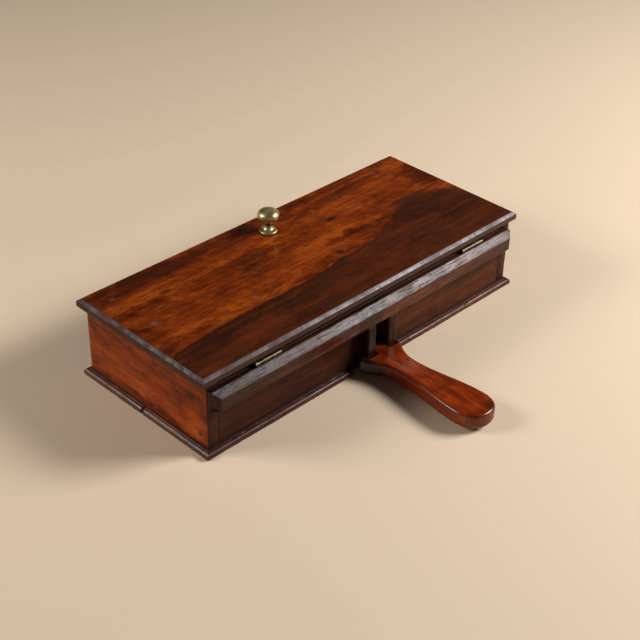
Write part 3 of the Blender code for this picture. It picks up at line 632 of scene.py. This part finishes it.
def knob_neck_shade(tree, colour):
    """Painted shade under the knob's head and round its neck."""
    z = tree.axes()["Z"]
    stray = tree.math("MULTIPLY", tree.noise((260, 260, 260), 3, 0.6, shift=6.0), 1.6 * MM)
    z = tree.math("ADD", z, stray)
    below = tree.spread(z, KNOB_HIGH.z - 8.4 * MM, KNOB_HIGH.z - 11.5 * MM)
    above = tree.spread(z, ROSE_HIGH.z + 4.4 * MM, ROSE_HIGH.z + 6.4 * MM)
    dirt = tree.math("MULTIPLY", tree.math("MULTIPLY", below, above), 0.86)
    return tree.mix(dirt, colour, KNOB_NECK_SHADE)


def make_materials():
    """Material by slot and grain axis."""
    brass = worn_metal("aged_brass", BRASS, (0.28, 0.42), 0.82, knob_neck_shade)
    steel = worn_metal("dark_steel", STEEL, (0.40, 0.7))
    found = {("lid_mahogany", "X"): wood("lid_mahogany", "X", MAHOGANY, (0.20, 0.34),
                                         polish=0.31, contrast=1.25, lean=lid_lean,
                                         figure=lid_figure, dull=lid_dull),
             ("lever_mahogany", "Y"): wood("lever_mahogany", "Y", LEVER, (0.14, 0.30), 0.16,
                                           worn=1.3, polish=0.42, contrast=1.3, lean=lever_tone_and_shade,
                                           figure=lever_root_shadow),
             # The end walls' colours are lightened as painted light.
             ("case_mahogany", "Y"): wood("case_mahogany_end", "Y", LIT_CASE_END, (0.36, 0.54),
                                          0.16, polish=0.13, lean=end_lean, figure=end_figure),
             ("case_mahogany", "X"): wood("case_mahogany", "X", CASE_FRONT, (0.52, 0.70),
                                          polish=0.15, contrast=1.8, figure=long_wall_dirt_and_shade)}
    found["hinge_brass"] = worn_metal("tarnished_brass", TARNISH, (0.34, 0.5))
    # The posts' trim is darkened as painted shade, and the end mouldings' trim lightened as painted
    # light.
    for grain, stops, polish in (("X", TRIM, 0.21), ("Y", LIT_SIDE_TRIM, 0.45), ("Z", SHADED_POST, 0.08)):
        found[("trim_mahogany", grain)] = wood("trim_mahogany_" + grain, grain, stops, (0.28, 0.48),
                                               0.6, worn=0.8, polish=polish, contrast=1.9,
                                               figure=trim_post_shade_and_dark_end)
        found[("inner_wood", grain)] = wood("inner_wood_" + grain, grain, INNER, (0.62, 0.85),
                                            0.2, worn=1.2, polish=0.2,
                                            figure=bottom_shaded_rim if grain == "X" else None)
        found[("aged_brass", grain)] = brass
        found[("dark_steel", grain)] = steel
    return found


# --- Meshes ------------------------------------------------------------------------------

def new_piece(name, work, body, slot, grain, replaced):
    """Make an object of the bmesh, in the place of the CAD nodes that it replaces."""
    bmesh.ops.recalc_face_normals(work, faces=work.faces)
    mesh = bpy.data.meshes.new(name)
    work.to_mesh(mesh)
    work.free()
    piece = bpy.data.objects.new(name, mesh)
    bpy.context.scene.collection.objects.link(piece)
    mesh.materials.append(MATERIALS[(slot, grain)])
    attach(piece, body)
    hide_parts(*replaced)
    return piece


def apply_modifiers(piece):
    """Put the evaluated shape into the piece's own mesh."""
    bpy.context.view_layer.update()
    evaluated = piece.evaluated_get(bpy.context.evaluated_depsgraph_get())
    mesh = bpy.data.meshes.new_from_object(evaluated)
    piece.modifiers.clear()
    piece.data = mesh


def round_edges(piece, width, segments=2, angle=40):
    bevel = piece.modifiers.new("edges", "BEVEL")
    bevel.width = width
    bevel.segments = segments
    bevel.limit_method = "ANGLE"
    bevel.angle_limit = math.radians(angle)
    apply_modifiers(piece)


def wear(piece, sway, chips, seed=0.0, smooth_below=50):
    """Let the surface sway gently, and take small chips out of its sharp edges."""
    work = bmesh.new()
    work.from_mesh(piece.data)
    work.normal_update()
    moves = []
    offset = Vector((seed, seed * 0.7, -seed))
    for vertex in work.verts:
        normals = [face.normal for face in vertex.link_faces]
        bend = max((a.angle(b, 0.0) for a in normals for b in normals), default=0.0)
        sharp = min(bend / math.radians(60), 1.0)
        slow = noise.noise(vertex.co * 28 + offset)
        quick = max(noise.noise(vertex.co * 160 + offset) - 0.15, 0.0)
        moves.append(vertex.normal * (sway * slow - chips * quick * sharp))
    for vertex, move in zip(work.verts, moves):
        vertex.co += move
        vertex.co.z = max(vertex.co.z, 0.0)         # nothing sinks into the floor
    work.to_mesh(piece.data)
    work.free()
    piece.data.shade_smooth()
    piece.data.set_sharp_from_angle(angle=math.radians(smooth_below))


def swept(work, section, low, high, place, spacing=3.0 * MM):
    """Sweep a closed section of (outward, up) points, with a flat cap at both ends.

    low(outward) and high(outward) say where each end of the piece is, and
    place(along, outward, up) gives the point.
    """
    length = max(high(out) - low(out) for out, _ in section)
    steps = max(2, round(length / spacing))
    rings = []
    for step in range(steps + 1):
        share = step / steps
        rings.append([work.verts.new(place(low(out) + (high(out) - low(out)) * share, out, up))
                      for out, up in section])
    count = len(section)
    for near, far in zip(rings, rings[1:]):
        for i in range(count):
            j = (i + 1) % count
            work.faces.new((near[i], near[j], far[j], far[i]))
    work.faces.new(rings[0])
    work.faces.new(reversed(rings[-1]))


def arc(centre, radius, start, end, steps):
    """Points on an arc, with angles in degrees."""
    points = []
    for step in range(steps + 1):
        angle = math.radians(start + (end - start) * step / steps)
        points.append((centre[0] + radius * math.cos(angle), centre[1] + radius * math.sin(angle)))
    return points


def split_sides(section, longest):
    """Add points to the long straight sides of a closed section."""
    points = []
    for (a, b), (c, d) in zip(section, section[1:] + section[:1]):
        parts = max(1, math.ceil(math.hypot(c - a, d - b) / longest))
        points += [(a + (c - a) * i / parts, b + (d - b) * i / parts) for i in range(parts)]
    return points


# --- Pieces ------------------------------------------------------------------------------

def make_lid():
    """The lid board: a flat top, a broad bevel round it on all four sides, and square below."""
    low, high = LID_LOW, LID_HIGH
    profile = [(0.0, low.z + LID_SOFTENING), (0.0, low.z + 2.6 * MM), (0.0, high.z - 3.2 * MM)]
    profile += [(inset * MM, high.z - drop * MM)
                for inset, drop in ((0.08, 2.95), (0.3, 2.65), (1.5, 1.6), (2.7, 0.55),
                                    (3.2, 0.14), (3.5, 0.0), (4.0, 0.0))]
    columns, rows = LID_COLUMNS, LID_ROWS
    work = bmesh.new()

    def ring(inset, z):
        """The corners run at 45 degrees, so the ring keeps its count at every inset."""
        x0, x1 = low.x + inset, high.x - inset
        y0, y1 = low.y + inset, high.y - inset
        points = [(x0 + (x1 - x0) * i / columns, y0) for i in range(columns)]
        points += [(x1, y0 + (y1 - y0) * i / rows) for i in range(rows)]
        points += [(x1 - (x1 - x0) * i / columns, y1) for i in range(columns)]
        points += [(x0, y1 - (y1 - y0) * i / rows) for i in range(rows)]
        return [work.verts.new((x, y, z)) for x, y in points]

    rings = [ring(LID_SOFTENING, low.z)] + [ring(inset, z) for inset, z in profile]
    count = len(rings[0])
    for near, far in zip(rings, rings[1:]):
        for i in range(count):
            j = (i + 1) % count
            work.faces.new((near[i], near[j], far[j], far[i]))
    work.faces.new(reversed(rings[0]))
    fill_grid(work, rings[-1], columns, rows)
    piece = new_piece("lid_top_board", work, "lid", "lid_mahogany", "X", ["lid_board"])
    wear(piece, 0.12 * MM, 0.22 * MM, seed=2.0, smooth_below=24)


def fill_grid(work, border, columns, rows):
    """Fill a rectangular ring of columns x rows steps with a grid of quads."""
    grid = {}
    for i in range(columns + 1):
        grid[(i, 0)] = border[i]
        grid[(i, rows)] = border[(2 * columns + rows - i) % len(border)]
    for j in range(1, rows):
        grid[(columns, j)] = border[columns + j]
        grid[(0, j)] = border[2 * columns + 2 * rows - j]
    for i in range(1, columns):
        for j in range(1, rows):
            bottom, top = grid[(i, 0)].co, grid[(i, rows)].co
            grid[(i, j)] = work.verts.new(bottom.lerp(top, j / rows))
    for i in range(columns):
        for j in range(rows):
            work.faces.new((grid[(i, j)], grid[(i + 1, j)], grid[(i + 1, j + 1)], grid[(i, j + 1)]))


def make_rail():
    """The chamfered rail under the hinges, with its front corners cut off at both ends."""
    depth = RAIL_HIGH.y - RAIL_LOW.y
    back = depth - RAIL_CHAMFER             # where the chamfer meets the rail's top
    start = depth - RAIL_END_CUT
    slope_up = RAIL_HIGH.z - (start - back)
    section = [(0, RAIL_LOW.z), (start, RAIL_LOW.z), (depth, RAIL_LOW.z),
               (depth, RAIL_HIGH.z - RAIL_CHAMFER), (start, slope_up), (back, RAIL_HIGH.z),
               (0, RAIL_HIGH.z)]
    work = bmesh.new()
    swept(work, split_sides(section, 2.6 * MM),
          lambda out: RAIL_LOW.x + max(0.0, out - start),
          lambda out: RAIL_HIGH.x - max(0.0, out - start),
          lambda along, out, up: (along, RAIL_HIGH.y - out, up), 2.6 * MM)
    piece = new_piece("front_hinge_rail", work, "case", "trim_mahogany", "X", ["hinge_rail"])
    round_edges(piece, 0.45 * MM, angle=30)
    wear(piece, 0.14 * MM, 0.7 * MM, seed=5.0)


def moulding_section(width, height):
    """A thumb moulding: a narrow fillet, a quirk, a round, and a small square toe."""
    nose, toe = MOULDING_NOSE, MOULDING_TOE
    fillet = width - nose - toe
    points = [(0.0, 0.0), (width - toe, 0.0), (width, toe), (width, height - nose - 0.6 * MM)]
    points += arc((width - nose, height - nose - 0.15 * MM), nose, 8, 90, 7)
    points += [(width - nose - 0.2 * MM, height - MOULDING_STEP), (fillet, height - MOULDING_STEP),
               (fillet - 0.1 * MM, height), (0.0, height)]
    return points


def make_mouldings():
    """The base moulding, in the lengths that the CAD gives, mitred at the four corners.

    Each side has its place, and says whether its low and its high end are mitred.
    """
    sides = {"front_left_moulding": ("front", True, False),
             "front_right_moulding": ("front", False, True),
             "right_moulding": ("right", True, True), "back_moulding": ("back", True, True),
             "left_rear_moulding": ("left", False, True),
             "left_front_moulding": ("left", True, False)}
    for seed, (node, (side, mitre_low, mitre_high)) in enumerate(sides.items()):
        low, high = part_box(node)
        along_x = side in ("front", "back")
        start, end = (low.x, high.x) if along_x else (low.y, high.y)
        width = (high.y - low.y) if along_x else (high.x - low.x)

        def at(along, out, up, side=side, low=low, high=high):
            return {"front": (along, high.y - out, up), "back": (along, low.y + out, up),
                    "left": (high.x - out, along, up), "right": (low.x + out, along, up)}[side]

        def low_end(out, start=start, cut=mitre_low, width=width):
            return start + (width - out if cut else MOULDING_WEAR * (out / width) ** 2)

        def high_end(out, end=end, cut=mitre_high, width=width):
            return end - (width - out if cut else MOULDING_WEAR * (out / width) ** 2)

        work = bmesh.new()
        section = split_sides(moulding_section(width, high.z), 1.8 * MM)
        swept(work, section, low_end, high_end, at, 2.4 * MM)
        piece = new_piece(node.replace("moulding", "bead"), work, "case", "trim_mahogany",
                          "X" if along_x else "Y", [node])
        round_edges(piece, 0.25 * MM, segments=1, angle=50)
        wear(piece, (0.40 if side == "left" else 0.18) * MM, 0.8 * MM, seed=11.0 + seed)


def make_boards():
    """End walls and guide posts: square timber with worn edges."""
    for seed, node in enumerate(("left_end_wall", "right_end_wall")):
        low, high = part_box(node)
        section = [(low.x, low.z), (high.x, low.z), (high.x, high.z), (low.x, high.z)]
        work = bmesh.new()
        swept(work, split_sides(section, 6 * MM), lambda out: low.y, lambda out: high.y,
              lambda along, out, up: (out, along, up), 4 * MM)
        piece = new_piece(node.replace("wall", "board"), work, "case", "case_mahogany", "Y", [node])
        round_edges(piece, 0.6 * MM)
        wear(piece, 0.10 * MM, 0.8 * MM, seed=21.0 + seed)
    for seed, node in enumerate(("left_guide_post", "right_guide_post")):
        low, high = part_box(node)
        section = [(low.x, low.y), (high.x, low.y), (high.x, high.y), (low.x, high.y)]
        work = bmesh.new()
        swept(work, split_sides(section, 2.5 * MM), lambda out: low.z, lambda out: high.z,
              lambda along, out, up: (out, up, along), 2.5 * MM)
        piece = new_piece(node.replace("post", "cheek"), work, "case", "trim_mahogany", "Z", [node])
        round_edges(piece, 0.7 * MM)
        wear(piece, 0.08 * MM, 0.6 * MM, seed=31.0 + seed)


def make_lever():
    """The lever, its edges rounded and polished by hands: the CAD solid, remeshed and eased."""
    source = frame["nodes"]["lever_handle"]
    work = bmesh.new()
    work.from_mesh(source.data)
    piece = new_piece("lever_paddle", work, "lever", "lever_mahogany", "Y", ["lever_handle"])
    remesh = piece.modifiers.new("remesh", "REMESH")
    remesh.mode = "VOXEL"
    remesh.voxel_size = VOXEL
    remesh.adaptivity = 0.0
    ease = piece.modifiers.new("ease", "SMOOTH")
    ease.factor = 0.5
    ease.iterations = EASING
    apply_modifiers(piece)
    wear(piece, 0.18 * MM, 0.0, seed=41.0, smooth_below=180)


def turned(name, profile, centre, slot, replaced, steps=72, body="lid", finish=None):
    """Revolve (radius, height) points about an upright axis at the centre. Ends are closed."""
    work = bmesh.new()
    rings = []
    for radius, height in profile:
        if radius < 1e-7:
            rings.append([work.verts.new((centre.x, centre.y, height))])
            continue
        rings.append([work.verts.new((centre.x + radius * math.cos(2 * math.pi * i / steps),
                                      centre.y + radius * math.sin(2 * math.pi * i / steps),
                                      height)) for i in range(steps)])
    for upper, lower in zip(rings, rings[1:]):
        for i in range(steps):
            j = (i + 1) % steps
            corners = [upper[i % len(upper)], upper[j % len(upper)], lower[j % len(lower)],
                       lower[i % len(lower)]]
            unique = list(dict.fromkeys(corners))
            if len(unique) > 2:
                work.faces.new(unique)
    piece = new_piece(name, work, body, slot, "X", replaced)
    if finish:
        piece.data.materials[0] = finish
    piece.data.shade_smooth()
    piece.data.set_sharp_from_angle(angle=math.radians(38))
    return piece


def make_knob():
    """A turned brass knob: a flattened head, a cove, and a rose with a rolled rim."""
    centre = (KNOB_LOW + KNOB_HIGH) / 2
    head_radius = (KNOB_HIGH.x - KNOB_LOW.x) / 2
    top = KNOB_HIGH.z
    foot = ROSE_HIGH.z + 0.2 * MM
    profile = [(0.0, top)]
    for step in range(1, KNOB_STEPS + 1):
        angle = math.radians(90 - KNOB_SWEEP * step / KNOB_STEPS)
        rise = KNOB_CROWN if angle > 0 else KNOB_BELLY
        profile.append((head_radius * math.cos(angle), top - KNOB_CROWN + rise * math.sin(angle)))
    neck, cove = KNOB_NECK, KNOB_COVE
    chin = profile[-1][1]
    profile += [(neck + 0.5 * MM, chin - 0.5 * MM), (neck, chin - 1.1 * MM)]
    profile += [(neck + cove - x, z) for x, z in arc((0.0, foot + cove), cove, 0, -90, 9)]
    profile += [(neck + cove + 0.3 * MM, foot), (KNOB_SHANK, foot), (KNOB_SHANK, KNOB_LOW.z),
                (0.0, KNOB_LOW.z)]
    turned("turned_knob", profile, centre, "aged_brass", ["brass_knob"])
    outer = (ROSE_HIGH.x - ROSE_LOW.x) / 2
    low, high = ROSE_LOW.z, ROSE_HIGH.z
    bead = (high - low) / 2
    rim = arc((outer - bead, low + bead), bead, 90, -90, 10)
    top = high - 0.1 * MM
    rose = [(ROSE_BORE, top), (outer - 2 * bead, top)] + rim + [(ROSE_BORE, low), (ROSE_BORE, top)]
    turned("turned_rose", rose, centre, "aged_brass", ["knob_rose"])


def make_screws():
    """Countersunk wood screws whose heads have a straight slot, each turned its own way."""
    for name in sorted(frame["nodes"]):
        if "_screw_" not in name:
            continue
        low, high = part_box(name)
        centre = (low + high) / 2
        faces_down = name.startswith(("hinge_lid", "pivot_block"))
        top, side = (low.z, 1) if faces_down else (high.z, -1)
        head = (high.x - low.x) / 2
        depth = high.z - low.z
        shank = head * 0.46
        profile = [(0.0, 0.0), (head, 0.0), (head, 0.3 * MM), (shank, head * 0.75)]
        thread = head * 0.75
        while thread < depth - 2.2 * MM:
            profile += [(shank, thread), (shank * 1.22, thread + THREAD_PITCH / 2),
                        (shank, thread + THREAD_PITCH)]
            thread += THREAD_PITCH
        profile += [(shank, depth - 1.6 * MM), (0.0, depth)]
        profile = [(radius, top + side * away) for radius, away in profile]
        clean = [point for i, point in enumerate(profile) if i == 0 or point != profile[i - 1]]
        screw = turned(name.replace("screw", "woodscrew"), clean, centre, SLOTS[name], [name],
                       steps=28, body=SCREW_BODY[name.split("_screw_")[0]],
                       finish=MATERIALS["hinge_brass"] if "hinge" in name else None)
        cutter_mesh = bmesh.new()
        bmesh.ops.create_cube(cutter_mesh, size=1.0, matrix=Matrix.Translation(
            (centre.x, centre.y, top)) @ Matrix.Rotation(centre.x * 900, 4, "Z")
            @ Matrix.Diagonal((head * 3, *SLOT_SIZE, 1.0)))
        cutter_data = bpy.data.meshes.new("slot_cutter")
        cutter_mesh.to_mesh(cutter_data)
        cutter_mesh.free()
        cutter = bpy.data.objects.new("slot_cutter", cutter_data)
        bpy.context.scene.collection.objects.link(cutter)
        cut = screw.modifiers.new("slot", "BOOLEAN")
        cut.operation = "DIFFERENCE"
        cut.object = cutter
        apply_modifiers(screw)
        bpy.data.objects.remove(cutter)


def finish_nodes():
    """Give each CAD node that still shows its own procedural material."""
    for name, item in frame["nodes"].items():
        grain = "Z" if name.endswith("block") else "X"
        if (SLOTS[name], grain) not in MATERIALS:
            grain = next(grain for grain in "XYZ" if (SLOTS[name], grain) in MATERIALS)
        material = MATERIALS[(SLOTS[name], grain)]
        if "hinge" in name and name != "hinge_rail":
            material = MATERIALS["hinge_brass"]
        item.data.materials.clear()
        item.data.materials.append(material)


make_camera()
make_studio()
MATERIALS = make_materials()
finish_nodes()
make_lid()
make_rail()
make_mouldings()
make_boards()
make_lever()
make_knob()
make_screws()
